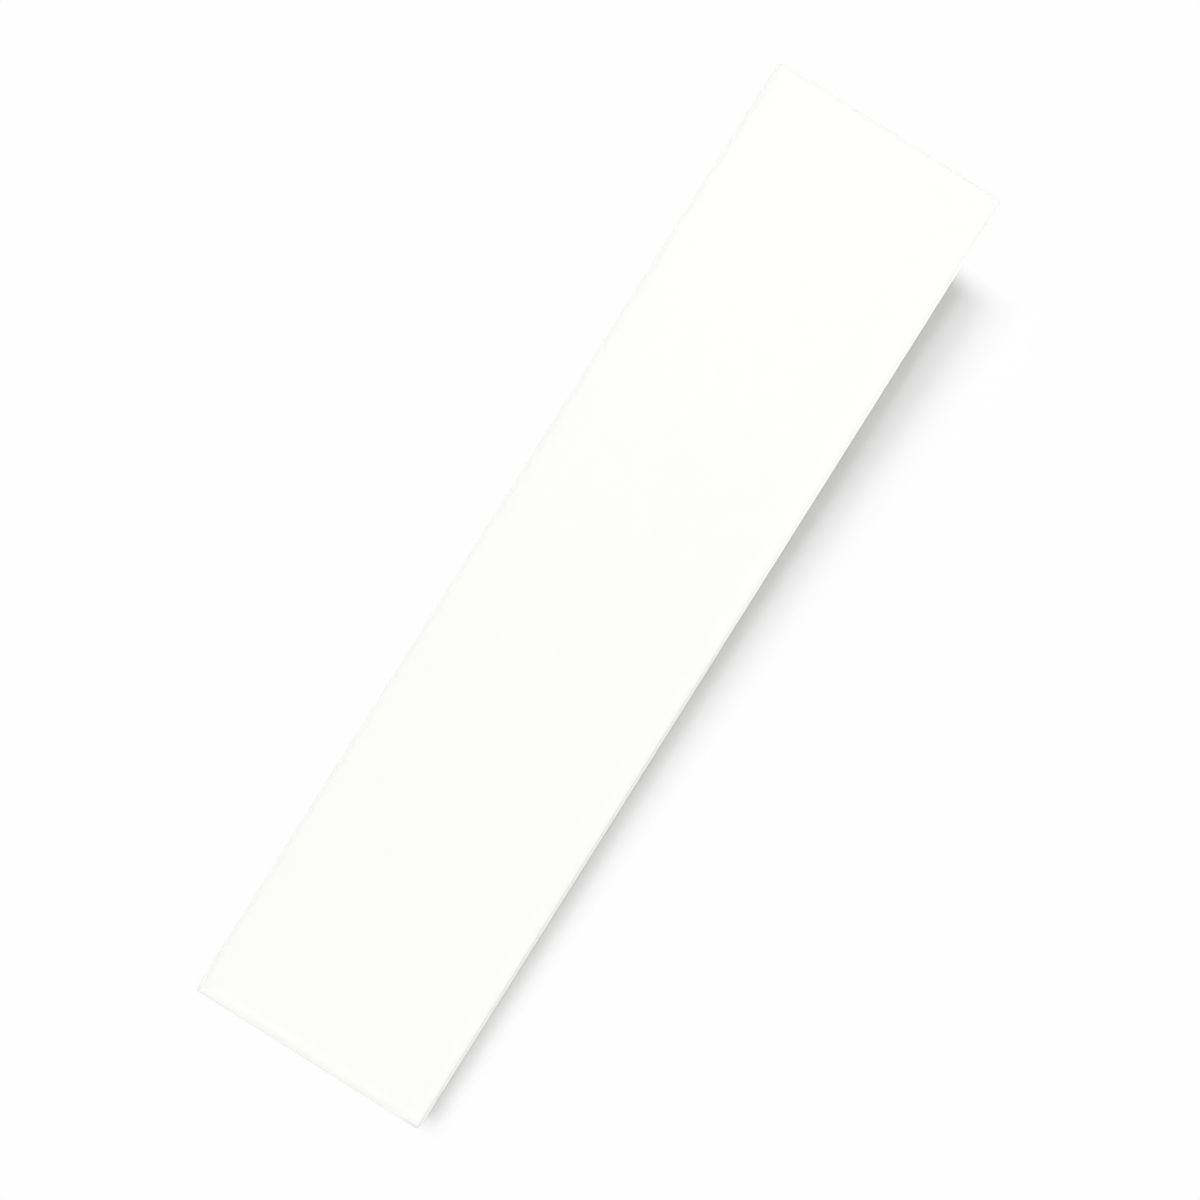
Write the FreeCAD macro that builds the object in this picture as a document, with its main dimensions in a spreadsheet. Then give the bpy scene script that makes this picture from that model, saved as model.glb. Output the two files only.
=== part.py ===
import FreeCAD, Part

import math
import os

import Sketcher
from FreeCAD import Vector

# Slim subway wall tile, one pressed, glazed and fired piece.
# It lies on its back: the origin is the centre of the back's bearing plane, +X runs along the tile,
# +Y across it and +Z out of the glazed face.

# Driving dimensions, in millimetres, degrees or copies
SIZES = [
    ("tile_length", 250, "long side of the face"),
    ("tile_width", 60, "short side of the face"),
    ("tile_thickness", 8, "bearing plane of the back to the flat of the face"),
    ("corner_radius", 0.8, "corners of the outline, seen from the front"),
    ("cushion_width", 3.6, "how far in from each side the face starts to fall"),
    ("cushion_radius", 9, "gentle arc of the falling face"),
    ("arris_radius", 1.2, "tight arc that turns the fall into the side"),
    ("back_bevel", 0.6, "bevel round the back's outline"),
    ("key_length", 17.6, "recess in the back, along the tile"),
    ("key_width", 14.8, "recess in the back, across the tile"),
    ("key_depth", 0.55, "how deep the mortar keys in"),
    ("key_corner_radius", 1.8, "recess corners at the bearing plane"),
    ("key_draft", 30, "lean of the recess walls, so that the punch lets go"),
    ("rib_width", 2.6, "raised rib between two recesses"),
    ("least_rim", 4, "narrowest plain rim kept round the recesses"),
    ("cut_margin", 2, "how far a cutting profile reaches past the tile"),
]
SIZE = {alias: value for alias, value, meaning in SIZES}

# How many recesses fit between the rims, and how far one lies from the next
PITCH_ALONG = "(Sizes.key_length + Sizes.rib_width)"
PITCH_ACROSS = "(Sizes.key_width + Sizes.rib_width)"
KEYS_ALONG = f"floor((Sizes.tile_length - 2 * Sizes.least_rim + Sizes.rib_width) / {PITCH_ALONG})"
KEYS_ACROSS = f"floor((Sizes.tile_width - 2 * Sizes.least_rim + Sizes.rib_width) / {PITCH_ACROSS})"

# Names that the sketcher gives to a line's or an arc's ends and to an arc's centre
START, END, CENTRE = 1, 2, 3
# The sketch origin counts as the first point of the sketcher's own geometry
ORIGIN = (-1, 1)


def make_sheet(doc):
    """Spreadsheet with one row for each size: name, value and meaning."""
    sheet = doc.addObject("Spreadsheet::Sheet", "Sizes")
    for row, (alias, value, meaning) in enumerate(SIZES, start=1):
        sheet.set(f"A{row}", alias)
        sheet.set(f"B{row}", str(value))
        sheet.setAlias(f"B{row}", alias)
        sheet.set(f"C{row}", meaning)
    doc.recompute()


def origin_feature(body, role):
    """One of the body's own axes or planes."""
    return next(item for item in body.Origin.OriginFeatures if item.Role == role)


def new_sketch(body, name, plane):
    """Empty sketch on one of the body's origin planes."""
    sketch = body.newObject("Sketcher::SketchObject", name)
    sketch.AttachmentSupport = [(origin_feature(body, plane), "")]
    sketch.MapMode = "FlatFace"
    return sketch


def bind(sketch, name, constraint, expression):
    """Adds a named dimension whose value follows the sheet."""
    index = sketch.addConstraint(constraint)
    sketch.renameConstraint(index, name)
    sketch.setExpression(f"Constraints.{name}", expression)


def draw_line(sketch, start, end):
    """Straight edge between two points given as (x, y)."""
    return sketch.addGeometry(Part.LineSegment(Vector(*start, 0), Vector(*end, 0)))


def draw_arc(sketch, centre, radius, first_angle, last_angle):
    """Counter-clockwise arc, with its angles in radians."""
    circle = Part.Circle(Vector(*centre, 0), Vector(0, 0, 1), radius)
    return sketch.addGeometry(Part.ArcOfCircle(circle, first_angle, last_angle))


def rounded_rectangle(sketch, length, width, radius, to_left, to_bottom):
    """Rectangle whose four sides are joined by tangent corner arcs.

    length, width and radius are names in the sheet. The last two are expressions: how far the left
    side and the bottom side lie from the sketch's origin.
    """
    far_x = SIZE[length] / 2
    far_y = SIZE[width] / 2
    bend = SIZE[radius]
    corners = [(1, 1), (-1, 1), (-1, -1), (1, -1)]
    arcs = []
    for quarter, (side_x, side_y) in enumerate(corners):
        centre = (side_x * (far_x - bend), side_y * (far_y - bend))
        arcs.append(draw_arc(sketch, centre, bend, quarter * math.pi / 2, (quarter + 1) * math.pi / 2))
    top = draw_line(sketch, (far_x - bend, far_y), (-far_x + bend, far_y))
    left = draw_line(sketch, (-far_x, far_y - bend), (-far_x, -far_y + bend))
    bottom = draw_line(sketch, (-far_x + bend, -far_y), (far_x - bend, -far_y))
    right = draw_line(sketch, (far_x, -far_y + bend), (far_x, far_y - bend))
    for quarter, side in enumerate([top, left, bottom, right]):
        next_arc = arcs[(quarter + 1) % 4]
        sketch.addConstraint(Sketcher.Constraint("Tangent", arcs[quarter], END, side, START))
        sketch.addConstraint(Sketcher.Constraint("Tangent", side, END, next_arc, START))
    sketch.addConstraint([Sketcher.Constraint("Horizontal", side) for side in (top, bottom)])
    sketch.addConstraint([Sketcher.Constraint("Vertical", side) for side in (left, right)])
    sketch.addConstraint([Sketcher.Constraint("Equal", arcs[0], arc) for arc in arcs[1:]])
    bind(sketch, "corner", Sketcher.Constraint("Radius", arcs[0], bend), f"Sizes.{radius}")
    along = Sketcher.Constraint("DistanceX", left, START, right, START, 2 * far_x)
    across = Sketcher.Constraint("DistanceY", bottom, START, top, START, 2 * far_y)
    bind(sketch, "length", along, f"Sizes.{length}")
    bind(sketch, "width", across, f"Sizes.{width}")
    bind(sketch, "to_left", Sketcher.Constraint("DistanceX", left, START, *ORIGIN, far_x), to_left)
    bind(sketch, "to_bottom", Sketcher.Constraint("DistanceY", bottom, START, *ORIGIN, far_y), to_bottom)


def pad_blank(body):
    """Pressed blank: the plan outline raised to the full thickness."""
    sketch = new_sketch(body, "blank_outline", "XY_Plane")
    rounded_rectangle(sketch, "tile_length", "tile_width", "corner_radius",
                      "Sizes.tile_length / 2", "Sizes.tile_width / 2")
    pad = body.newObject("PartDesign::Pad", "blank")
    pad.Profile = sketch
    pad.setExpression("Length", "Sizes.tile_thickness")
    return pad


def bevel_back(doc, body, blank):
    """Small bevel all round the back, where the green tile is fettled."""
    doc.recompute()
    on_back = []
    for number, edge in enumerate(blank.Shape.Edges, start=1):
        if edge.BoundBox.ZMax < SIZE["tile_thickness"] / 2:
            on_back.append(f"Edge{number}")
    chamfer = body.newObject("PartDesign::Chamfer", "back_bevel")
    chamfer.Base = (blank, on_back)
    chamfer.setExpression("Size", "Sizes.back_bevel")
    return chamfer


def roll_edge(body, name, plane, across):
    """Rolls the face down into the two sides that lie across the given size.

    The profile is what is taken away outside the edge: a gentle cushion arc leaves the flat of the
    face, a tight arris arc carries on from it and ends upright in the side.
    """
    half = SIZE[across] / 2
    face = SIZE["tile_thickness"]
    wide = SIZE["cushion_radius"]
    tight = SIZE["arris_radius"]
    margin = SIZE["cut_margin"]
    start_x = half - SIZE["cushion_width"]
    turn = math.asin((SIZE["cushion_width"] - tight) / (wide - tight))
    side_top = face - wide + (wide - tight) * math.cos(turn)

    sketch = new_sketch(body, f"{name}_profile", plane)
    cushion = draw_arc(sketch, (start_x, face - wide), wide, math.pi / 2 - turn, math.pi / 2)
    arris = draw_arc(sketch, (half - tight, side_top), tight, 0, math.pi / 2 - turn)
    shelf = draw_line(sketch, (half, side_top), (half + margin, side_top))
    outside = draw_line(sketch, (half + margin, side_top), (half + margin, face + margin))
    above = draw_line(sketch, (half + margin, face + margin), (start_x, face + margin))
    down = draw_line(sketch, (start_x, face + margin), (start_x, face))

    chain = [(arris, START, shelf, START), (shelf, END, outside, START), (outside, END, above, START),
             (above, END, down, START), (down, END, cushion, END)]
    sketch.addConstraint([Sketcher.Constraint("Coincident", *pair) for pair in chain])
    sketch.addConstraint(Sketcher.Constraint("Tangent", arris, END, cushion, START))
    sketch.addConstraint([Sketcher.Constraint("Horizontal", line) for line in (shelf, above)])
    sketch.addConstraint([Sketcher.Constraint("Vertical", line) for line in (outside, down)])
    sketch.addConstraint(Sketcher.Constraint("Vertical", cushion, CENTRE, cushion, END))
    sketch.addConstraint(Sketcher.Constraint("Horizontal", arris, CENTRE, arris, START))

    distances = [
        ("side", "DistanceX", (*ORIGIN, arris, START), half, f"Sizes.{across} / 2"),
        ("fall", "DistanceX", (cushion, END, arris, START), half - start_x, "Sizes.cushion_width"),
        ("face", "DistanceY", (*ORIGIN, cushion, END), face, "Sizes.tile_thickness"),
        ("past_side", "DistanceX", (shelf, START, shelf, END), margin, "Sizes.cut_margin"),
        ("past_face", "DistanceY", (down, END, down, START), margin, "Sizes.cut_margin"),
    ]
    for label, kind, points, value, expression in distances:
        bind(sketch, label, Sketcher.Constraint(kind, *points, value), expression)
    bind(sketch, "cushion", Sketcher.Constraint("Radius", cushion, wide), "Sizes.cushion_radius")
    bind(sketch, "arris", Sketcher.Constraint("Radius", arris, tight), "Sizes.arris_radius")

    roll = body.newObject("PartDesign::Pocket", name)
    roll.Profile = sketch
    roll.Type = "ThroughAll"
    roll.SideType = "Symmetric"
    return roll


def mirror_cut(body, name, cut, plane):
    """Repeats a cut on the opposite side of the tile."""
    mirrored = body.newObject("PartDesign::Mirrored", name)
    mirrored.Originals = [cut]
    mirrored.MirrorPlane = (origin_feature(body, plane), [""])
    body.Tip = mirrored
    return mirrored


def press_keys(body):
    """Shallow recesses in the back that the mortar keys into, with a lattice of ribs between them."""
    sketch = new_sketch(body, "key_outline", "XY_Plane")
    rounded_rectangle(sketch, "key_length", "key_width", "key_corner_radius",
                      f"({KEYS_ALONG} * {PITCH_ALONG} - Sizes.rib_width) / 2",
                      f"({KEYS_ACROSS} * {PITCH_ACROSS} - Sizes.rib_width) / 2")

    key = body.newObject("PartDesign::Pocket", "first_key")
    key.Profile = sketch
    key.Reversed = True
    key.setExpression("Length", "Sizes.key_depth")
    key.setExpression("TaperAngle", "-Sizes.key_draft")

    keys = body.newObject("PartDesign::LinearPattern", "keys")
    keys.Originals = [key]
    keys.Direction = (origin_feature(body, "X_Axis"), [""])
    keys.Direction2 = (origin_feature(body, "Y_Axis"), [""])
    keys.setExpression("Length", f"({KEYS_ALONG} - 1) * {PITCH_ALONG}")
    keys.setExpression("Length2", f"({KEYS_ACROSS} - 1) * {PITCH_ACROSS}")
    keys.setExpression("Occurrences", KEYS_ALONG)
    keys.setExpression("Occurrences2", KEYS_ACROSS)
    body.Tip = keys
    return [key, keys]


def make_tile(doc):
    """The whole tile as one body, and the features that take material away."""
    body = doc.addObject("PartDesign::Body", "wall_tile")
    body.Label = "wall_tile"
    body.Placement = FreeCAD.Placement()
    blank = pad_blank(body)
    bevel = bevel_back(doc, body, blank)
    long_roll = roll_edge(body, "long_roll", "YZ_Plane", "tile_width")
    long_mirror = mirror_cut(body, "long_roll_opposite", long_roll, "XZ_Plane")
    end_roll = roll_edge(body, "end_roll", "XZ_Plane", "tile_length")
    end_mirror = mirror_cut(body, "end_roll_opposite", end_roll, "YZ_Plane")
    return body, [bevel, long_roll, long_mirror, end_roll, end_mirror, *press_keys(body)]


def check_model(doc, bodies, cuts):
    """Stops on a failed object, an unusable shape or a cut that takes nothing away."""
    for item in doc.Objects:
        if "Invalid" in item.State or "Error" in item.State:
            raise RuntimeError(f"{item.Label} failed: {item.State}")
    for body in bodies:
        if body.Shape.isNull() or not body.Shape.isValid():
            raise RuntimeError(f"{body.Label} has no valid shape")
    for cut in cuts:
        if cut.Shape.Volume >= cut.BaseFeature.Shape.Volume:
            raise RuntimeError(f"{cut.Label} takes nothing away")


def main():
    doc = FreeCAD.newDocument("subway_wall_tile")
    make_sheet(doc)
    tile, cuts = make_tile(doc)
    doc.recompute()
    check_model(doc, [tile], cuts)
    os.makedirs("parts", exist_ok=True)
    tile.Shape.exportStep(f"parts/{tile.Label}.step")
    print(f"{tile.Label}: {len(tile.Shape.Solids)} solid, {tile.Shape.Volume / 1000:.2f} cm3")


main()
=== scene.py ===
# %% [markdown]
# # A slim glazed wall tile
#
# The real object is one piece of pressed clay with a coat of glass fused to its face. Dust-pressing
# gives it a flat face with cushioned edges and a lattice of ribs on the back, and the kiln turns the
# sprayed glaze into a glossy skin that rolls over the edges and stops part-way down the sides.
#
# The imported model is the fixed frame: it says where the tile lies and how large it is. Everything here
# is in metres, so small sizes are written in millimetres and multiplied by MM. The near end of the tile
# is the one at -X, low in the picture, and the far end is high in it. The left side is at +Y and the
# right side at -Y.

# %% Load the frame
import math

import bpy
from mathutils import Matrix, Vector


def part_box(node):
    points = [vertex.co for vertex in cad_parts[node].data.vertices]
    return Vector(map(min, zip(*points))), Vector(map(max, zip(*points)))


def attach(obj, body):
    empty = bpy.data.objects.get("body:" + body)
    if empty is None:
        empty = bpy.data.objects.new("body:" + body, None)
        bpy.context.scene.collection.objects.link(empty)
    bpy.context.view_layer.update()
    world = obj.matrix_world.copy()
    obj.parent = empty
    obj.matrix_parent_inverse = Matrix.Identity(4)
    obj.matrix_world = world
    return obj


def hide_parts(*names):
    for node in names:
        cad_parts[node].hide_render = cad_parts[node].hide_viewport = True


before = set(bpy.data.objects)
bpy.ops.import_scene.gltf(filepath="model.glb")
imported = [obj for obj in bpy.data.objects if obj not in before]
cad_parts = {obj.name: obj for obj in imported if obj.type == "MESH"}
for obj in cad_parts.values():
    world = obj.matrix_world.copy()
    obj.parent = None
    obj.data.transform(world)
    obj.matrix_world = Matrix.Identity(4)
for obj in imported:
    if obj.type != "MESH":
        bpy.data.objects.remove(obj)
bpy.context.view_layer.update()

MM = 0.001
lowest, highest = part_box("wall_tile")
LENGTH, WIDTH, THICKNESS = highest - lowest
print(f"tile {LENGTH / MM:.1f} x {WIDTH / MM:.1f} x {THICKNESS / MM:.1f} mm")

# %% [markdown]
# ## Writing rules as arithmetic
#
# Both the shape and the finishes below are rules: heights, insets and masks worked out from a few
# sizes. In a node tree each sum is a Math node. Placing dozens of them by hand hides the rule, so the
# small class here stands for a number that flows through a tree, and Python's own signs make the nodes.

# %% Numbers that flow through a node tree
def new_node(tree, kind, **settings):
    """Adds a node and sets its properties."""
    node = tree.nodes.new(kind)
    for name, value in settings.items():
        setattr(node, name, value)
    return node


def feed(socket, value):
    """Links a flowing value or another socket to a socket, or sets a plain value on it."""
    if isinstance(value, Flow):
        value = value.socket
    if isinstance(value, bpy.types.NodeSocket):
        socket.id_data.links.new(value, socket)
    else:
        socket.default_value = value


def calc(operation, *values):
    """One Math node. At least one of the values flows, and it says which tree the node is in."""
    tree = next(value.tree for value in values if isinstance(value, Flow))
    node = new_node(tree, "ShaderNodeMath", operation=operation)
    for socket, value in zip(node.inputs, values):
        feed(socket, value)
    return Flow(node.outputs[0])


class Flow:
    """A number carried by a socket, which can be used in sums."""

    def __init__(self, socket):
        self.socket = socket
        self.tree = socket.id_data

    def __add__(self, other):
        return calc("ADD", self, other)

    def __sub__(self, other):
        return calc("SUBTRACT", self, other)

    def __rsub__(self, other):
        return calc("SUBTRACT", other, self)

    def __mul__(self, other):
        return calc("MULTIPLY", self, other)

    def __truediv__(self, other):
        return calc("DIVIDE", self, other)

    def __gt__(self, other):
        return calc("GREATER_THAN", self, other)

    def __lt__(self, other):
        return calc("LESS_THAN", self, other)

    __radd__ = __add__
    __rmul__ = __mul__


# %% A few sums that are used often
def least(a, b):
    return calc("MINIMUM", a, b)


def most(a, b):
    return calc("MAXIMUM", a, b)


def root(a):
    return calc("SQRT", most(a, 0))


def ramp(value, start, end, smooth=False):
    """0 before start, 1 after end."""
    style = "SMOOTHSTEP" if smooth else "LINEAR"
    node = new_node(value.tree, "ShaderNodeMapRange", interpolation_type=style)
    for name, number in (("Value", value), ("From Min", start), ("From Max", end)):
        feed(node.inputs[name], number)
    return Flow(node.outputs["Result"])


def fade(value, start, end, smooth=False):
    """1 before start, 0 after end."""
    return 1 - ramp(value, start, end, smooth)


def coordinates(socket):
    """The three numbers of a vector."""
    node = new_node(socket.id_data, "ShaderNodeSeparateXYZ")
    feed(node.inputs[0], socket)
    return [Flow(output) for output in node.outputs]


def choose(test, when_true, when_false):
    """Picks one of two numbers by a test that is 0 or 1."""
    return test * when_true + (1 - test) * when_false


def noise(tree, vector, size, seed, detail):
    """Smooth noise from 0 to 1, with humps about size metres apart."""
    node = new_node(tree, "ShaderNodeTexNoise", noise_dimensions="4D")
    for name, number in (("Vector", vector), ("W", seed), ("Scale", 1 / size), ("Detail", detail)):
        feed(node.inputs[name], number)
    return Flow(node.outputs["Fac"])


# %% [markdown]
# ## Starting a finish
#
# The tile has two finishes, glaze and bare clay. Both are opaque, so one Principled shader is enough for
# each. Object coordinates place what is spread over the tile, because they are in metres and stay with
# it. Bump stands for the finest unevenness. It only bends the light, so it suits what is far smaller
# than anything the mesh should carry.

# %% What the finishes share
def new_material(name):
    """Material with an empty tree, its shader and the object coordinates."""
    material = bpy.data.materials.new(name)
    material.use_nodes = True
    tree = material.node_tree
    tree.nodes.clear()
    shader = new_node(tree, "ShaderNodeBsdfPrincipled")
    output = new_node(tree, "ShaderNodeOutputMaterial")
    tree.links.new(shader.outputs["BSDF"], output.inputs["Surface"])
    place = new_node(tree, "ShaderNodeTexCoord").outputs["Object"]
    return material, tree, shader, place


def blend_colours(tree, factor, first, second):
    """Colour between two colours."""
    node = new_node(tree, "ShaderNodeMix", data_type="RGBA")
    feed(node.inputs["Factor"], factor)
    feed(node.inputs["A"], first)
    feed(node.inputs["B"], second)
    return node.outputs["Result"]


def add_bump(tree, shader, height, distance):
    """Bends the shading normal by a height from 0 to 1, times a distance in metres."""
    bump = new_node(tree, "ShaderNodeBump")
    feed(bump.inputs["Height"], height)
    feed(bump.inputs["Distance"], distance)
    feed(bump.inputs["Strength"], 1)
    tree.links.new(bump.outputs["Normal"], shader.inputs["Normal"])


# %% [markdown]
# ## The colour of the glaze
#
# A white glaze is glass over pale clay. Where the coat is thin it looks creamy, and where it is thick it
# is a cleaner white: the photo shows it drift from the one to the other along the tile. The white of the
# far end is partly painted light, since that end is also lit brightest. Over the sharp edges the melt
# draws back and gets thinner, so a trace of the clay greys it there, and that grey is partly painted
# shade along all the edges. A narrow band inside the right edge, in the near half, is greyer still, and
# that band is painted shade.
#
# The drift along the tile is a ramp that clouds of noise push to and fro, so that it has no straight
# border. What follows the edges needs the distance from the outline. The shape stores it as an
# attribute, in millimetres, because only the shape knows it.

# %% Glaze colour
GLAZE_WHITE = (0.939, 0.939, 0.924, 1)
GLAZE_CREAM = (0.928, 0.934, 0.893, 1)
GLAZE_THIN_AND_SHADE = (0.88, 0.88, 0.86, 1)
GLAZE_PAINTED_SHADE = (0.785, 0.79, 0.775, 1)

CLOUD_SIZE = 38 * MM
CLOUD_PUSH = 110 * MM
THICK_CLOUDS = (0.48, 0.66)  # noise values between which the coat goes from thin to thick
MOTTLE_SIZE = 8 * MM
MOTTLE_STRENGTH = 1.1
# Where along the tile the coat starts and ends to change; the white of the far part is partly painted
# light
NEAR_END = (-115 * MM, -70 * MM)
LIT_FAR_PART = (-40 * MM, 70 * MM)
# How thick it gets at the near end and in the clouds, where 1 is the far part
NEAR_END_THICKNESS = 0.4
CLOUD_THICKNESS = 0.5
# Over the edges, in millimetres from the outline, where thinner glaze and painted shade grey them
THIN_SHADE_BAND = (0.0, 2.2)
THIN_SHADE_STRENGTH = 0.6
SHADE_BAND_FROM = (0.03, 0.24)
SHADE_BAND_TO = (0.42, 0.76)
# The side and the half of the tile that get the painted shade band
SHADE_BAND_SIDE = (-WIDTH * 0.42, -WIDTH * 0.46)
SHADE_BAND_HALF = (-20 * MM, 30 * MM)


def glaze_colour(tree, place):
    """Colour of the coat from its thickness. Its whiter far end and grey edges are partly painted light
    and shade, and a band inside the right edge is painted shade.
    """
    cloud = noise(tree, place, CLOUD_SIZE, seed=1, detail=4)
    x, y, _ = coordinates(place)
    along = x + (cloud - 0.5) * CLOUD_PUSH

    # The far part is whitened partly as painted light, for that end is lit brightest; the clouds and
    # mottle are the coat's own tone
    coat_and_lit_white = most(NEAR_END_THICKNESS * fade(along, *NEAR_END), ramp(along, *LIT_FAR_PART))
    coat_and_lit_white = most(coat_and_lit_white, CLOUD_THICKNESS * ramp(cloud, *THICK_CLOUDS, smooth=True))
    mottle = noise(tree, place, MOTTLE_SIZE, seed=5, detail=4)
    coat_and_lit_white = coat_and_lit_white + (mottle - 0.5) * MOTTLE_STRENGTH
    body = blend_colours(tree, coat_and_lit_white, GLAZE_CREAM, GLAZE_WHITE)

    from_edge = Flow(new_node(tree, "ShaderNodeAttribute", attribute_name="edge_mm").outputs["Fac"])
    # Grey along all the edges: partly the glaze thinning there, partly painted shade
    thin_and_shade = THIN_SHADE_STRENGTH * fade(from_edge, *THIN_SHADE_BAND, smooth=True)
    body = blend_colours(tree, thin_and_shade, body, GLAZE_THIN_AND_SHADE)

    # Painted shade: a greyer band just inside the right edge, in the near half
    in_shade_band = ramp(from_edge, *SHADE_BAND_FROM, smooth=True) * fade(from_edge, *SHADE_BAND_TO, smooth=True)
    in_shade_half = ramp(y, *SHADE_BAND_SIDE) * fade(along, *SHADE_BAND_HALF, smooth=True)
    return blend_colours(tree, in_shade_band * in_shade_half, body, GLAZE_PAINTED_SHADE)


print("glaze from cream", GLAZE_CREAM[:3], "to white", GLAZE_WHITE[:3])

# %% [markdown]
# ## The gloss of the glaze
#
# Glaze is very smooth, but never a perfect mirror. It is a little uneven, like still water with a breath
# on it, because it was sprayed on and then melted. So the roughness is low and varies in faint smears,
# and the bump is only a few thousandths of a millimetre high: broad dimples, as on the peel of an
# orange, with a trace of finer grain.

# %% Glaze material
SMEAR_SIZE = 9 * MM
SMOOTHEST = 0.045
SMEAR_ROUGHNESS = 0.05
PEEL_SIZE = 4.2 * MM
GRAIN_SIZE = 0.9 * MM
GRAIN_SHARE = 0.12
PEEL_HEIGHT = 0.016 * MM


def make_glaze():
    material, tree, shader, place = new_material("white gloss glaze")
    feed(shader.inputs["Base Color"], glaze_colour(tree, place))

    smear = noise(tree, place, SMEAR_SIZE, seed=2, detail=4)
    feed(shader.inputs["Roughness"], SMOOTHEST + smear * SMEAR_ROUGHNESS)

    peel = noise(tree, place, PEEL_SIZE, seed=3, detail=1)
    grain = noise(tree, place, GRAIN_SIZE, seed=4, detail=1)
    add_bump(tree, shader, peel + grain * GRAIN_SHARE, PEEL_HEIGHT)
    return material


glaze = make_glaze()
print("made", glaze.name, "with", len(glaze.node_tree.nodes), "nodes")

# %% [markdown]
# ## The finish of the bare clay
#
# The back and the lower sides carry no glaze. Fired clay, called biscuit, is matt, faintly speckled and
# rough to the touch. The ribs stand on the kiln rollers, so they carry a dusting of white kiln wash, and
# a little glaze mist drifts over the sides below the glaze line. Both lie thick on some spots and are
# worn off others, so the same worn pattern goes into both. All of it depends on the height above the
# bearing plane, which the object coordinates give.

# %% Biscuit material
CLAY_PALE = (0.79, 0.75, 0.68, 1)
CLAY_DEEP = (0.66, 0.60, 0.52, 1)
KILN_WASH = (0.86, 0.85, 0.82, 1)
GRIT = (0.36, 0.29, 0.22, 1)

# Tones are noise values between which a mask goes from 0 to 1
PATCH_SIZE = 14 * MM
PATCH_TONES = (0.3, 0.75)
SPECK_SIZE = 0.55 * MM
SPECK_TONES = (0.70, 0.76)
SPECK_STRENGTH = 0.6
WORN_SIZE = 3 * MM
WORN_TONES = (0.36, 0.62)
WASH_HEIGHTS = (0.02 * MM, 0.18 * MM)
MIST_HEIGHTS = (1.2 * MM, 3.4 * MM)
MIST_TONES = (0.0, 0.9)
DUST_STRENGTH = 0.85
PIT_SIZE = 1.1 * MM
PORE_SIZE = 0.28 * MM
PIT_SHARE = 0.6
CLAY_RELIEF = 0.09 * MM
CLAY_SMOOTHEST = 0.80
PORE_ROUGHNESS = 0.18


def biscuit_colour(tree, place):
    """Clay in two tones, with specks of grit and a dusting of wash and mist."""
    height = coordinates(place)[2]
    patch = ramp(noise(tree, place, PATCH_SIZE, seed=11, detail=5), *PATCH_TONES, smooth=True)
    clay = blend_colours(tree, patch, CLAY_PALE, CLAY_DEEP)
    specks = ramp(noise(tree, place, SPECK_SIZE, seed=12, detail=1), *SPECK_TONES)
    clay = blend_colours(tree, specks * SPECK_STRENGTH, clay, GRIT)

    worn = ramp(noise(tree, place, WORN_SIZE, seed=13, detail=4), *WORN_TONES, smooth=True)
    wash = fade(height, *WASH_HEIGHTS, smooth=True) * worn
    mist = ramp(height, *MIST_HEIGHTS, smooth=True) * ramp(worn, *MIST_TONES)
    return blend_colours(tree, most(wash, mist) * DUST_STRENGTH, clay, KILN_WASH)


def make_biscuit():
    material, tree, shader, place = new_material("bare biscuit")
    feed(shader.inputs["Base Color"], biscuit_colour(tree, place))

    pits = noise(tree, place, PIT_SIZE, seed=14, detail=4)
    pores = noise(tree, place, PORE_SIZE, seed=15, detail=3)
    feed(shader.inputs["Roughness"], CLAY_SMOOTHEST + pores * PORE_ROUGHNESS)
    add_bump(tree, shader, pits * PIT_SHARE + pores * (1 - PIT_SHARE), CLAY_RELIEF)
    return material


biscuit = make_biscuit()
print("made", biscuit.name, "with", len(biscuit.node_tree.nodes), "nodes")

# %% [markdown]
# ## The tile as a rule
#
# A box would be wrong: the face falls away before the edge, the four falls meet in soft mitres at the
# corners, and the outline's corners are barely rounded. All of that is one rule, the height of the
# face for a given distance from the edge, so Geometry Nodes make it. The tree starts from a cube whose
# faces are divided into a grid, and one Set Position node moves every point to where the rule puts
# it. A bevelled cube can't do this, because a bevel has one radius and this edge has two.
#
# The sizes come in as named inputs, so the same tree makes any tile of this kind.

# %% Named inputs of the tree: sizes in metres, and counts
SIZES = {
    "Length": LENGTH,
    "Width": WIDTH,
    "Thickness": THICKNESS,
    "Corner radius": 0.8 * MM,
    "Cushion width": 3.6 * MM,
    "Cushion radius": 9 * MM,
    "Arris radius": 1.2 * MM,
    "Back bevel": 0.6 * MM,
    "Bow": 0.06 * MM,
    "Ripple": 0.03 * MM,
    "Glaze line": 3.1 * MM,
    "Glaze line drift": 1.1 * MM,
    "Glaze lap": 0.1 * MM,
    "Key length": 17.6 * MM,
    "Key width": 14.8 * MM,
    "Key depth": 0.55 * MM,
    "Key corner radius": 1.8 * MM,
    "Key lean": 0.35 * MM,
    "Key lip": 0.08 * MM,
    "Rib width": 2.6 * MM,
    "Seed": 7.0,
}
COUNTS = {
    "Face columns": 220,
    "Face rows": 40,
    "Cushion lines": 20,
    "Keys along": 12,
    "Keys across": 3,
    "Key points": 36,
    "Key rings": 6,
}
# Rows of faces down the side: glazed, round the edge of the glaze, bare, and on the bevel
GLAZED_ROWS, BEAD_ROWS, BARE_ROWS, BEVEL_ROWS = 4, 5, 4, 3
SIDE_ROWS = GLAZED_ROWS + BEAD_ROWS + BARE_ROWS + BEVEL_ROWS


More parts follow.
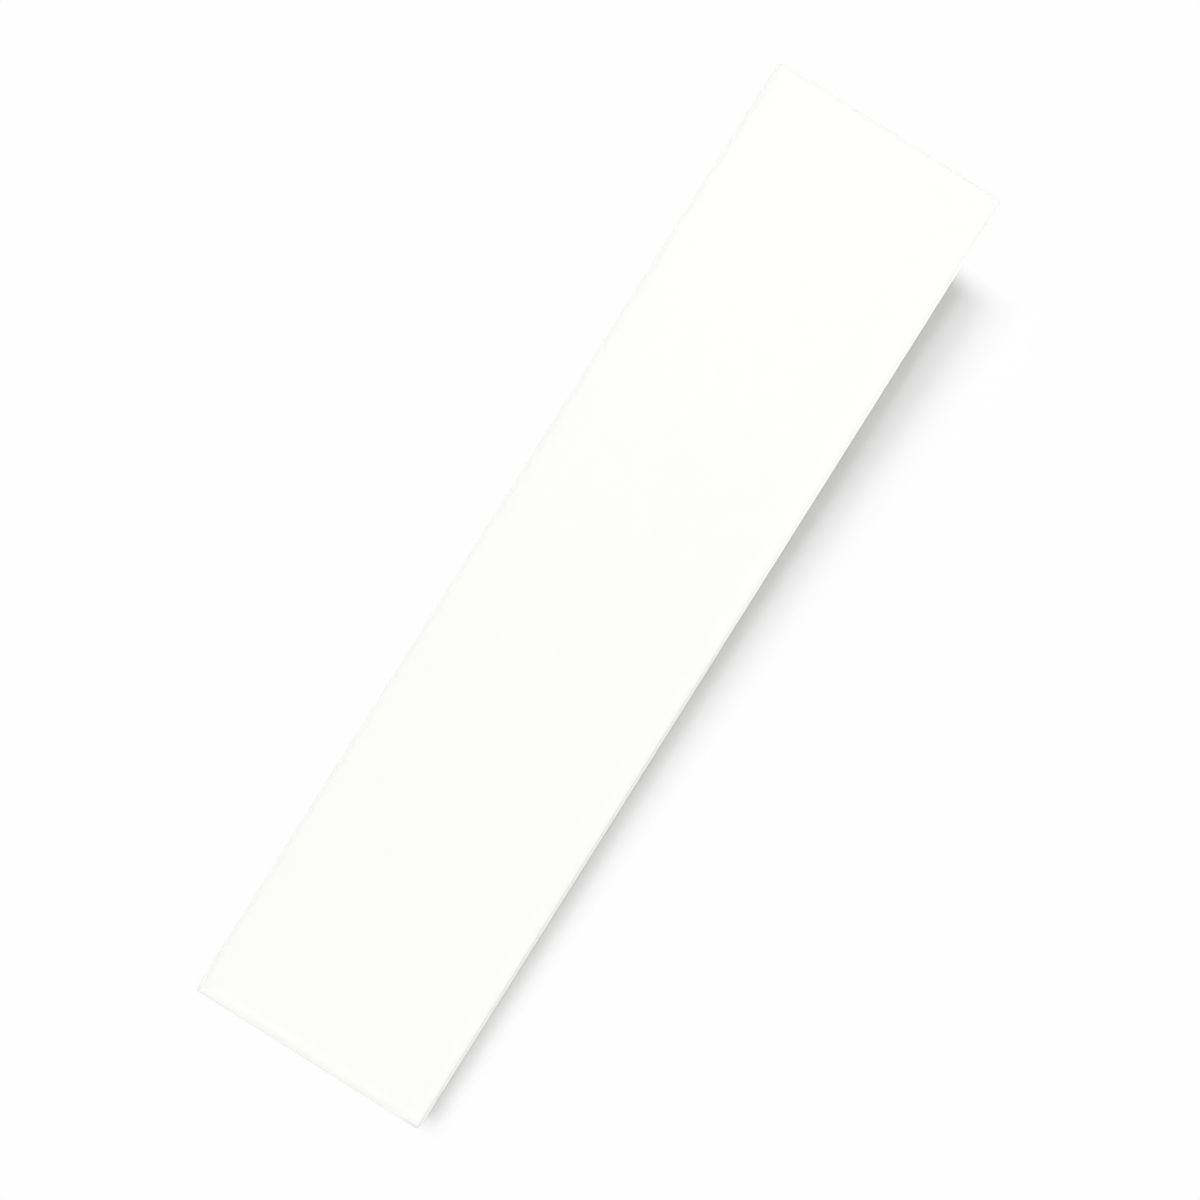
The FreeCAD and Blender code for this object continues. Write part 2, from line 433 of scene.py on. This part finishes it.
def start_tree(name):
    """Empty tree with one output, one input for each size and count, and one for each material."""
    tree = bpy.data.node_groups.new(name, "GeometryNodeTree")
    tree.interface.new_socket("Mesh", in_out="OUTPUT", socket_type="NodeSocketGeometry")
    for label in SIZES:
        tree.interface.new_socket(label, in_out="INPUT", socket_type="NodeSocketFloat")
    for label in COUNTS:
        tree.interface.new_socket(label, in_out="INPUT", socket_type="NodeSocketInt")
    for label in ("Glaze", "Biscuit"):
        tree.interface.new_socket(label, in_out="INPUT", socket_type="NodeSocketMaterial")
    return tree


tree = start_tree("pressed tile")
group_in = new_node(tree, "NodeGroupInput")
size = {label: Flow(group_in.outputs[label]) for label in (*SIZES, *COUNTS)}
print(len(size), "named inputs for sizes and counts")

# %% [markdown]
# ### Small steps that repeat
#
# Joining, moving and storing are one node each, with two or three links. A short function for each lets
# the steps below be read as one sentence per line.

# %% Nodes that the tree repeats
def joined(*parts):
    """Puts several pieces of geometry into one."""
    node = new_node(tree, "GeometryNodeJoinGeometry")
    for part in parts:
        tree.links.new(part, node.inputs[0])
    return node.outputs[0]


def vector(x, y, z):
    node = new_node(tree, "ShaderNodeCombineXYZ")
    for socket, value in zip(node.inputs, (x, y, z)):
        feed(socket, value)
    return node.outputs[0]


def moved(geometry, position):
    """Moves every point to a position."""
    node = new_node(tree, "GeometryNodeSetPosition")
    feed(node.inputs["Geometry"], geometry)
    feed(node.inputs["Position"], position)
    return node.outputs[0]


def stored(geometry, name, value, domain, data_type):
    """Keeps a value on the mesh, for the materials."""
    node = new_node(tree, "GeometryNodeStoreNamedAttribute", domain=domain, data_type=data_type)
    feed(node.inputs["Geometry"], geometry)
    feed(node.inputs["Name"], name)
    feed(node.inputs["Value"], value)
    return node.outputs[0]


def progress(step):
    print(f"{step}: {len(tree.nodes)} nodes so far")


progress("named inputs")

# %% [markdown]
# ### The starting cube
#
# Each face of the cube is a grid, and its size is its number of squares, so a point's coordinates are
# simply its place in the grid. The bottom is taken off, because the back gets its own faces. The rows
# that will carry glaze are marked now, while they are still easy to name by their number.

# %% Grid cube without a bottom
across_x = size["Cushion lines"] * 2 + size["Face columns"]
across_y = size["Cushion lines"] * 2 + size["Face rows"]
cube = new_node(tree, "GeometryNodeMeshCube")
feed(cube.inputs["Size"], vector(across_x, across_y, SIDE_ROWS))
feed(cube.inputs["Vertices X"], across_x + 1)
feed(cube.inputs["Vertices Y"], across_y + 1)
feed(cube.inputs["Vertices Z"], SIDE_ROWS + 1)

upward = coordinates(new_node(tree, "GeometryNodeInputNormal").outputs[0])[2]
open_bottom = new_node(tree, "GeometryNodeDeleteGeometry", domain="FACE")
feed(open_bottom.inputs["Geometry"], cube.outputs["Mesh"])
feed(open_bottom.inputs["Selection"], upward < -0.5)

grid_x, grid_y, grid_z = coordinates(new_node(tree, "GeometryNodeInputPosition").outputs[0])
row = grid_z + SIDE_ROWS / 2
first_glazed = BEVEL_ROWS + BARE_ROWS
shell = stored(open_bottom.outputs[0], "glazed", row > first_glazed, "FACE", "BOOLEAN")
print(SIDE_ROWS, "rows on the sides, glazed above row", first_glazed)

# %% [markdown]
# ### Where a grid line goes
#
# The lines crowd together near the edge, where the surface turns fast. Counting lines from the edge,
# the distance grows with the square of the count over the cushion, which gives even turns of the arc,
# and then in equal steps over the flat. Both directions share that spacing, so the mitre at each
# corner runs exactly through grid points.
#
# The outline's corner is rounded by bending the last square block onto a quarter disc: a point keeps
# its distance from the edge and only its angle changes.

# %% Distance of every point from the sides
half_length = size["Length"] / 2
half_width = size["Width"] / 2
corner = size["Corner radius"]
cushion = size["Cushion width"]


def from_side(grid, across, half_size, flat_lines):
    """Distance from the side of the tile for a grid coordinate."""
    lines = across / 2 - calc("ABSOLUTE", grid)
    part = least(lines / size["Cushion lines"], 1)
    on_flat = most(lines - size["Cushion lines"], 0) / (flat_lines / 2)
    return cushion * part * part + on_flat * (half_size - cushion)


dx = from_side(grid_x, across_x, half_length, size["Face columns"])
dy = from_side(grid_y, across_y, half_width, size["Face rows"])
progress("distances from the sides")

# %% [markdown]
# ### Down the sides, and round the corners
#
# The sides aren't quite flat either. At the bottom they draw in over the bevel, and the coat of glaze
# stands proud of the clay, so the bare part lies a little further in. Each kind of row has a share that
# goes from 0 at its lowest row to 1 at its highest. Those shares say how far in a point is, and further
# down how high it is.

# %% Plan position of every point
# From the bottom up: bevel, bare clay, the rounded edge of the glaze, glazed
up_bevel = ramp(row, 0, BEVEL_ROWS)
up_bare = ramp(row, BEVEL_ROWS, first_glazed)
up_bead = ramp(row, first_glazed, first_glazed + BEAD_ROWS)
up_glazed = ramp(row, first_glazed + BEAD_ROWS, SIDE_ROWS)
bead_left = 1 - up_bead
lap = size["Glaze lap"] * (1 - root(1 - bead_left * bead_left))
inset = lap + size["Back bevel"] * (1 - up_bevel)

# Over the corner's square block these are 0 at its inner sides and 1 at the outline
near_x = most(1 - dx / corner, 0)
near_y = most(1 - dy / corner, 0)
nearest = most(near_x, near_y)
NOT_ZERO = 1e-6
angle = least(near_x, near_y) / most(nearest, NOT_ZERO) * (math.pi / 4)
reach = nearest * corner - inset
along = reach * calc("COSINE", angle)
aside = reach * calc("SINE", angle)
x_leads = near_x > near_y
turned_x = choose(x_leads, along, aside)
turned_y = choose(x_leads, aside, along)
plan_x = calc("SIGN", grid_x) * (half_length - most(dx, corner) + turned_x)
plan_y = calc("SIGN", grid_y) * (half_width - most(dy, corner) + turned_y)
plan = vector(plan_x, plan_y, 0)
progress("plan positions")

# %% [markdown]
# ### How high a point is
#
# Coming in from the edge, the section first climbs a tight arc, the arris, and then a wide one, the
# cushion, which ends level with the flat. The two arcs are tangent, and the sizes of the arcs say where
# they meet. At a corner both sides pull the face down, and a smooth minimum of the two distances
# rounds the mitre, as the melted glaze does. The face isn't dead flat: a slow, faint ripple starts a
# little way in from the edge, so that the outline stays true.

# %% Height of the face
MITRE_SOFTNESS = 0.5
LEAST_SOFTNESS = 1e-7
RIPPLE_LENGTH = 26 * MM
RIPPLE_STARTS = (0.4 * MM, 6 * MM)
arris_r = size["Arris radius"]
cushion_r = size["Cushion radius"]
sine = (cushion - arris_r) / (cushion_r - arris_r)
cosine = root(1 - sine * sine)
arc_change = cushion - cushion_r * sine
side_top = size["Thickness"] - cushion_r + (cushion_r - arris_r) * cosine

distance = calc("SMOOTH_MIN", dx, dy, least(dx, dy) * MITRE_SOFTNESS + LEAST_SOFTNESS)
on_arris = most(arris_r - distance, 0)
on_cushion = most(cushion - distance, 0)
arris_z = side_top + root(arris_r * arris_r - on_arris * on_arris)
cushion_z = size["Thickness"] - cushion_r + root(cushion_r * cushion_r - on_cushion * on_cushion)
face_z = choose(distance > arc_change, cushion_z, arris_z)

ripple = noise(tree, plan, RIPPLE_LENGTH, size["Seed"], detail=1)
face_z = face_z - size["Ripple"] * ripple * ramp(distance, *RIPPLE_STARTS, smooth=True)
progress("height of the face")

# %% [markdown]
# ### The sides
#
# Glaze runs down the side and stops in a soft, wandering line with a rounded edge that stands proud of
# the clay. The line is in the mesh: the rows of points follow it, so the two finishes meet exactly at
# that small step. Last of all the tile is bowed a little, as firing does: its ends sink slightly.

# %% Height of the sides, and the finished shell
WANDER_LENGTH = 24 * MM
SHIVER_LENGTH = 7 * MM
SHIVER_SHARE = 0.45
BEAD_PROPORTION = 2.2
wander = noise(tree, plan, WANDER_LENGTH, size["Seed"] + 1, detail=1) - 0.5
shiver = noise(tree, plan, SHIVER_LENGTH, size["Seed"] + 2, detail=1) - 0.5
glaze_line = size["Glaze line"] + size["Glaze line drift"] * (wander + shiver * SHIVER_SHARE)
bead_height = size["Glaze lap"] * BEAD_PROPORTION
side_z = (size["Back bevel"] * up_bevel + (glaze_line - size["Back bevel"]) * up_bare
          + bead_height * up_bead + (side_top - glaze_line - bead_height) * up_glazed)
on_side = row < SIDE_ROWS - 0.5
height = choose(on_side, side_z, face_z)
along_tile = plan_x / half_length
bowed = height - size["Bow"] * along_tile * along_tile * (height / size["Thickness"])

shell = stored(shell, "edge_mm", distance * (1 - on_side) * (1 / MM), "POINT", "FLOAT")
shell = moved(shell, vector(plan_x, plan_y, bowed))
progress("shell")

# %% [markdown]
# ## The keys in the back
#
# The press leaves shallow recesses in the back, so that the adhesive keys in. Each is a cup with a
# rounded outline and leaning walls, and all are alike, so one cup is made and instanced over a grid
# of points. It starts from a cylinder with a capped top: its circle is pulled apart into four quarter
# arcs, which gives the rounded rectangle, and its height becomes the soft curve of the wall. The circle
# is first turned by half a step, so that no point lies on an axis, where it wouldn't know its quarter.

# %% One cup, repeated
cup = new_node(tree, "GeometryNodeMeshCone", fill_type="NGON")
for label, value in (("Vertices", size["Key points"]), ("Side Segments", size["Key rings"]),
                     ("Radius Top", 1.0), ("Radius Bottom", 1.0), ("Depth", 1.0)):
    feed(cup.inputs[label], value)
mouth = new_node(tree, "GeometryNodeDeleteGeometry", domain="FACE")
feed(mouth.inputs["Geometry"], cup.outputs["Mesh"])
feed(mouth.inputs["Selection"], cup.outputs["Bottom"])
half_step = new_node(tree, "GeometryNodeTransform")
feed(half_step.inputs["Geometry"], mouth.outputs[0])
feed(half_step.inputs["Rotation"], vector(0, 0, calc("DIVIDE", math.pi, size["Key points"])))

ring_x, ring_y, ring_z = coordinates(new_node(tree, "GeometryNodeInputPosition").outputs[0])
lean = size["Key lean"] + size["Key lip"]
bend = size["Key corner radius"] + size["Key lip"] - lean * ring_z
straight_x = size["Key length"] / 2 - size["Key corner radius"]
straight_y = size["Key width"] / 2 - size["Key corner radius"]
cup_x = calc("SIGN", ring_x) * straight_x + bend * ring_x
cup_y = calc("SIGN", ring_y) * straight_y + bend * ring_y
cup_z = size["Key depth"] * ramp(ring_z, 0.0, 1.0, smooth=True)
cup_shape = moved(half_step.outputs[0], vector(cup_x, cup_y, cup_z))

pitch_x = size["Key length"] + size["Rib width"]
pitch_y = size["Key width"] + size["Rib width"]
points = new_node(tree, "GeometryNodeMeshGrid")
feed(points.inputs["Size X"], (size["Keys along"] - 1) * pitch_x)
feed(points.inputs["Size Y"], (size["Keys across"] - 1) * pitch_y)
feed(points.inputs["Vertices X"], size["Keys along"])
feed(points.inputs["Vertices Y"], size["Keys across"])
copies = new_node(tree, "GeometryNodeInstanceOnPoints")
feed(copies.inputs["Points"], points.outputs["Mesh"])
feed(copies.inputs["Instance"], cup_shape)
cups = new_node(tree, "GeometryNodeRealizeInstances")
feed(cups.inputs[0], copies.outputs[0])
inside_out = new_node(tree, "GeometryNodeFlipFaces")
feed(inside_out.inputs["Mesh"], cups.outputs[0])
progress("keys")

# %% [markdown]
# ## Closing the back
#
# The shell's lower rim and the mouths of the cups are the only open edges, and all lie in the bearing
# plane. An edge is open where it has one face only. Turned into curves and filled, these edges give the
# rim and ribs in one go, with a hole for each cup. Merging the doubled points makes one closed skin.

# %% Fill the rims and merge
MERGE_DISTANCE = 0.001 * MM
almost = joined(shell, inside_out.outputs[0])
faces_at_edge = Flow(new_node(tree, "GeometryNodeInputMeshEdgeNeighbors").outputs[0])
rims = new_node(tree, "GeometryNodeMeshToCurve")
feed(rims.inputs["Mesh"], almost)
feed(rims.inputs["Selection"], faces_at_edge < 1.5)
bearing = new_node(tree, "GeometryNodeFillCurve", mode="TRIANGLES")
feed(bearing.inputs["Curve"], rims.outputs[0])
face_down = new_node(tree, "GeometryNodeFlipFaces")
feed(face_down.inputs["Mesh"], bearing.outputs[0])

closed = new_node(tree, "GeometryNodeMergeByDistance")
feed(closed.inputs["Geometry"], joined(almost, face_down.outputs[0]))
feed(closed.inputs["Distance"], MERGE_DISTANCE)
progress("closed skin")

# %% [markdown]
# ## Shading and finishes
#
# Edges that turn sharply are marked sharp, so that the flats stay flat in the light. Then the whole tile
# gets the biscuit finish, and the faces that were marked at the start get the glaze over it.

# %% Shade and finish the tree
SHARP_FROM = math.radians(32)
smooth = new_node(tree, "GeometryNodeSetShadeSmooth", domain="FACE")
feed(smooth.inputs["Geometry"], closed.outputs[0])
crease = new_node(tree, "GeometryNodeSetShadeSmooth", domain="EDGE")
feed(crease.inputs["Geometry"], smooth.outputs[0])
edge_angle = Flow(new_node(tree, "GeometryNodeInputMeshEdgeAngle").outputs["Unsigned Angle"])
feed(crease.inputs["Selection"], edge_angle > SHARP_FROM)
feed(crease.inputs["Shade Smooth"], False)

real = new_node(tree, "GeometryNodeRealizeInstances")
feed(real.inputs[0], crease.outputs[0])
bare = new_node(tree, "GeometryNodeSetMaterial")
feed(bare.inputs["Geometry"], real.outputs[0])
feed(bare.inputs["Material"], group_in.outputs["Biscuit"])
coated = new_node(tree, "GeometryNodeSetMaterial")
is_glazed = new_node(tree, "GeometryNodeInputNamedAttribute", data_type="BOOLEAN")
feed(is_glazed.inputs["Name"], "glazed")
feed(coated.inputs["Geometry"], bare.outputs[0])
feed(coated.inputs["Selection"], is_glazed.outputs["Attribute"])
feed(coated.inputs["Material"], group_in.outputs["Glaze"])
group_out = new_node(tree, "NodeGroupOutput")
feed(group_out.inputs[0], coated.outputs[0])
progress("whole tile")

# %% [markdown]
# ## Running the tree
#
# The tree's result is turned into a plain mesh, so that the finished piece needs no modifier. It
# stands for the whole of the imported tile, because it is the same form with finer edges.

# %% The finished tile
def run_tree(name, node_group, values):
    """Object whose mesh is the result of a tree with the given inputs."""
    piece = bpy.data.objects.new(name, bpy.data.meshes.new(name))
    bpy.context.scene.collection.objects.link(piece)
    modifier = piece.modifiers.new("rule", "NODES")
    modifier.node_group = node_group
    for item in node_group.interface.items_tree:
        if item.in_out == "INPUT":
            modifier[item.identifier] = values[item.name]
    evaluated = piece.evaluated_get(bpy.context.evaluated_depsgraph_get())
    mesh = bpy.data.meshes.new_from_object(evaluated)
    piece.modifiers.remove(modifier)
    piece.data = mesh
    mesh.name = name
    # The joined parts brought an empty material slot, which no face uses
    for index in reversed(range(len(mesh.materials))):
        if mesh.materials[index] is None:
            mesh.materials.pop(index=index)
    return piece


tile = run_tree("glazed_tile", tree, {**SIZES, **COUNTS, "Glaze": glaze, "Biscuit": biscuit})
triangles = sum(len(face.vertices) - 2 for face in tile.data.polygons)
print("tile:", len(tile.data.vertices), "points,", triangles, "triangles,",
      [slot.name for slot in tile.data.materials])
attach(tile, "root")
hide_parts("wall_tile")

# %% [markdown]
# ## The shadow's wedge
#
# A white tile on a white floor is told apart by its shadow and by the thin lines along its edges. In
# the photo the shadow lies beside the right long side and is a wedge: narrow at the near end of the
# tile, wide near its far end, and gone at both corners. A lamp can't throw such a wedge past a tile that
# lies flat, since the edge and its shadow are parallel.
#
# So the lamps throw a wide even shadow, and the floor shows it only inside a wedge. The wedge is a rule
# of the place on the floor: it has a width up to which the shadow is whole and a width at which it is
# gone. Both grow towards the far end, the first with the sixth power and the second with the square.

# %% The wedge
# Widths at the near end, and how much wider at the far end. Below 0 the shadow is nowhere whole
WHOLE_WIDTH = (-2.4 * MM, 32 * MM)
GONE_WIDTH = (6.3 * MM, 27 * MM)
# Shares of the tile's length over which the wedge comes and goes
WEDGE_STARTS = (-0.004, 0.024)
WEDGE_STOPS = (0.905, 0.935)
# Its inner border is hidden under the tile
UNDER_TILE = (-3 * MM, -1 * MM)


def wedge(place):
    """1 where the floor shows the shadow beside the tile's right long side, 0 elsewhere."""
    x, y, _ = coordinates(place)
    along = x / LENGTH + 0.5
    beside = -1 * y - WIDTH / 2
    square = along * along
    whole = square * square * square * WHOLE_WIDTH[1] + WHOLE_WIDTH[0]
    gone = square * GONE_WIDTH[1] + GONE_WIDTH[0]
    across = ramp(beside, *UNDER_TILE) * fade(beside, whole, gone, smooth=True)
    return across * ramp(along, *WEDGE_STARTS, smooth=True) * fade(along, *WEDGE_STOPS, smooth=True)


# %% [markdown]
# ## Floor
#
# The floor is a matt disc. Outside the wedge the eye and the gloss of the tile meet a plain white glow
# instead, of the same brightness as the lit floor, so that no border shows. The Light Path node tells
# such rays from the light that goes between surfaces, which always meets the matt floor.

# %% Floor
FLOOR_RADIUS = 6.0
FLOOR_DROP = 0.02 * MM
FLOOR_COLOUR = (0.944, 0.944, 0.944, 1)
FLOOR_WHITE = 0.991


def seen_or_mirrored(tree):
    """1 for what is seen, mirrored or seen through glass and 0 for other light, and 1 for gloss alone."""
    path = new_node(tree, "ShaderNodeLightPath")
    rays = ("Is Camera Ray", "Is Glossy Ray", "Is Transmission Ray")
    camera, gloss, through = (Flow(path.outputs[label]) for label in rays)
    return most(most(camera, gloss), through), gloss


def make_floor():
    bpy.ops.mesh.primitive_circle_add(vertices=96, radius=FLOOR_RADIUS, fill_type="NGON",
                                      location=(0, 0, -FLOOR_DROP))
    floor = bpy.context.object
    floor.name = "floor"
    material = bpy.data.materials.new("matt white floor")
    material.use_nodes = True
    nodes = material.node_tree
    nodes.nodes.clear()
    paint = new_node(nodes, "ShaderNodeBsdfDiffuse")
    feed(paint.inputs["Color"], FLOOR_COLOUR)
    glow = new_node(nodes, "ShaderNodeEmission")
    feed(glow.inputs["Strength"], FLOOR_WHITE)
    seen, _ = seen_or_mirrored(nodes)
    place = new_node(nodes, "ShaderNodeTexCoord").outputs["Object"]
    shown = new_node(nodes, "ShaderNodeMixShader")
    feed(shown.inputs[0], seen * (1 - wedge(place)))
    feed(shown.inputs[1], paint.outputs[0])
    feed(shown.inputs[2], glow.outputs[0])
    output = new_node(nodes, "ShaderNodeOutputMaterial")
    feed(output.inputs["Surface"], shown.outputs[0])
    floor.data.materials.append(material)
    return floor


make_floor()
print("floor of", FLOOR_RADIUS, "m radius,", FLOOR_DROP / MM, "mm under the tile")

# %% [markdown]
# ## The room's light
#
# The world does three jobs. It lights the tile weakly from all sides. It is the white behind the floor
# for the eye. And the gloss mirrors it, as a studio whose walls are darker than its ceiling, because a
# tile seen at a low angle in an all-white room loses its edges.

# %% World
DOME_LEVEL = 0.124
BACKDROP_LEVEL = 0.985
STUDIO_WALLS = 0.55
# How far up the walls start and end to brighten to the ceiling: 0 is level and 1 straight up
WALLS_TO_CEILING = (0.15, 0.75)


def make_world():
    world = bpy.data.worlds.new("studio")
    bpy.context.scene.world = world
    world.use_nodes = True
    nodes = world.node_tree
    nodes.nodes.clear()
    seen, gloss = seen_or_mirrored(nodes)
    up = coordinates(new_node(nodes, "ShaderNodeTexCoord").outputs["Generated"])[2]
    studio = STUDIO_WALLS + (1 - STUDIO_WALLS) * ramp(up, *WALLS_TO_CEILING, smooth=True)
    backdrop = BACKDROP_LEVEL * choose(gloss, studio, 1.0)
    sky = new_node(nodes, "ShaderNodeBackground")
    feed(sky.inputs["Color"], (1, 1, 1, 1))
    feed(sky.inputs["Strength"], choose(seen, backdrop, DOME_LEVEL))
    output = new_node(nodes, "ShaderNodeOutputWorld")
    feed(output.inputs["Surface"], sky.outputs[0])


make_world()
print("world lights the tile at", DOME_LEVEL)

# %% [markdown]
# ## Lamps
#
# Every lamp here stands for a large soft one, and a sun is used where the tile should be lit evenly from
# end to end. The level of a lamp is the share of full white that it adds to a surface lying flat, so
# the levels of all the lamps above can be added up. With the world they come to about 1, so that a
# colour renders about as it is written.
#
# Real bounces would fill the shadow and make the floor uneven, so the lamps don't bounce.

# %% Making a lamp
SUN_AWAY = 2.0  # a sun lights alike from anywhere, so this only keeps it clear of the tile


def ray_from(turn, climb):
    """Direction turned from the tile's +X axis towards +Y, and climbing above the floor, in degrees."""
    turn, climb = math.radians(turn), math.radians(climb)
    return Vector((math.cos(turn) * math.cos(climb), math.sin(turn) * math.cos(climb), math.sin(climb)))


def place_lamp(name, kind, ray, away, target=Vector((0, 0, 0))):
    """Lamp that looks at a point of the tile, doesn't bounce and isn't mirrored by the glaze."""
    data = bpy.data.lights.new(name, kind)
    lamp = bpy.data.objects.new(name, data)
    lamp.location = target + ray * away
    lamp.rotation_euler = ray.to_track_quat("Z", "Y").to_euler()
    lamp.visible_glossy = False
    data.cycles.max_bounces = 0
    bpy.context.scene.collection.objects.link(lamp)
    return lamp


def make_sun(name, turn, climb, spread, level, shadow=False):
    """Sun of a given spread in degrees, which adds level to a surface that lies flat and faces it."""
    ray = ray_from(turn, climb)
    lamp = place_lamp(name, "SUN", ray, SUN_AWAY)
    lamp.data.energy = level * math.pi / abs(ray.z)
    lamp.data.angle = math.radians(spread)
    lamp.data.use_shadow = shadow


# %% [markdown]
# ### The strip lamp
#
# A strip lamp hangs beyond the left long side and runs from nearly overhead down to low. It throws the
# only shadow, on the other side of the tile. Five suns one above the other make it: the low ones give
# the shadow its width, and the high ones its dark core close to the tile.

# %% Strip lamp
STRIP_TURN = 90
STRIP_SPREAD = 14
STRIP_LEVELS = {78: 0.010, 64: 0.117, 50: 0.064, 38: 0.145, 27: 0.110}
for number, (climb, level) in enumerate(STRIP_LEVELS.items(), 1):
    make_sun(f"strip_lamp_{number}", STRIP_TURN, climb, STRIP_SPREAD, level, shadow=True)
print(f"strip lamp adds {sum(STRIP_LEVELS.values()):.3f}")

# %% [markdown]
# ### Fills, and the light from the floor
#
# Weaker lamps on the other sides and above cast no shadow, as a lamp behind a large diffuser hardly
# does. They keep the cushioned edges nearly as bright as the face. A white floor also throws light back
# up at the steep edges, and weak suns from below stand in for it. Their light passes through the floor,
# since they cast no shadow.

# %% Fills and floor light
FILL_SPREAD = 40
# Turn, climb and level of each
FILLS = {
    "top_fill": (0, 90, 0.045),
    "right_fill": (-90, 15, 0.178),
    "near_end_fill": (180, 15, 0.117),
    "far_end_fill": (0, 15, 0.127),
}
FLOOR_LIGHTS = {
    "left_floor_light": (90, -45, 0.042),
    "right_floor_light": (-90, -25, 0.030),
    "near_end_floor_light": (180, -45, 0.058),
    "far_end_floor_light": (0, -45, 0.181),
}
for name, (turn, climb, level) in {**FILLS, **FLOOR_LIGHTS}.items():
    make_sun(name, turn, climb, FILL_SPREAD, level)

from_above = DOME_LEVEL + sum(STRIP_LEVELS.values()) + sum(level for _, _, level in FILLS.values())
print(f"the world and the suns above add {from_above:.3f} together")

# %% [markdown]
# ### Small panels
#
# Two small panels close to the tile make its far end the brightest part: one lifts the face there and
# one the right edge. A third is a pale patch of ceiling that lights nothing. The gloss of the near end's
# cushion mirrors it, and it shows as the bright band along that end. Area lamps suit these, because
# their light weakens with the distance.

# %% Panels
def make_panel(name, ray, away, side, level, shadow, target=Vector((0, 0, 0))):
    """Square panel that adds level to a surface that faces it at its target."""
    lamp = place_lamp(name, "AREA", ray, away, target)
    lamp.data.size = side
    lamp.data.energy = 4 * math.pi * level * away ** 2
    lamp.data.use_shadow = shadow
    return lamp


make_panel("far_end_panel", ray_from(25, 45), away=0.26, side=0.12, level=0.016, shadow=True)
FAR_RIGHT_SHARE = 0.38  # of the length, counted from the middle
far_right = Vector((FAR_RIGHT_SHARE * LENGTH, -WIDTH / 2, THICKNESS))
make_panel("low_right_panel", ray_from(-90, -20), away=0.08, side=0.03, level=0.14, shadow=False,
           target=far_right)
patch = make_panel("ceiling_patch", ray_from(180, 69), away=2.5, side=0.6, level=0.012, shadow=False)
patch.visible_glossy = True
patch.visible_diffuse = False
print(len(bpy.data.lights), "lamps in all")

# %% [markdown]
# ## Camera
#
# The picture was taken square on to the face from far away, so the long sides stay parallel. A long
# lens looks straight down and is rolled so that the tile's long axis climbs to the upper right. How
# wide the tile is in the picture sets the lens, and where its centre lies sets the aim.

# %% Camera
CAMERA_HEIGHT = 2.2
LONG_AXIS_CLIMB = math.radians(57.82)
# In pixels of the picture, the centre counted from its top left corner
PICTURE_SIDE = 1200
TILE_WIDTH_IN_PICTURE = 263.4
TILE_CENTRE_IN_PICTURE = (599.0, 595.7)


def make_camera():
    right = Vector((math.cos(LONG_AXIS_CLIMB), -math.sin(LONG_AXIS_CLIMB), 0))
    up = Vector((math.sin(LONG_AXIS_CLIMB), math.cos(LONG_AXIS_CLIMB), 0))
    pixel = WIDTH / TILE_WIDTH_IN_PICTURE
    past_right = PICTURE_SIDE / 2 - TILE_CENTRE_IN_PICTURE[0]
    past_top = TILE_CENTRE_IN_PICTURE[1] - PICTURE_SIDE / 2
    aim = (right * past_right + up * past_top) * pixel
    data = bpy.data.cameras.new("camera")
    data.lens = data.sensor_width * (CAMERA_HEIGHT - THICKNESS) / (pixel * PICTURE_SIDE)
    camera = bpy.data.objects.new("camera", data)
    turn = Matrix((right, up, Vector((0, 0, 1)))).transposed().to_4x4()
    camera.matrix_world = Matrix.Translation(aim + Vector((0, 0, CAMERA_HEIGHT))) @ turn
    bpy.context.scene.collection.objects.link(camera)
    bpy.context.scene.camera = camera
    print(f"lens {data.lens:.0f} mm, aim {aim.x / MM:.2f}, {aim.y / MM:.2f} mm")


make_camera()
bpy.context.scene.view_settings.view_transform = "Standard"
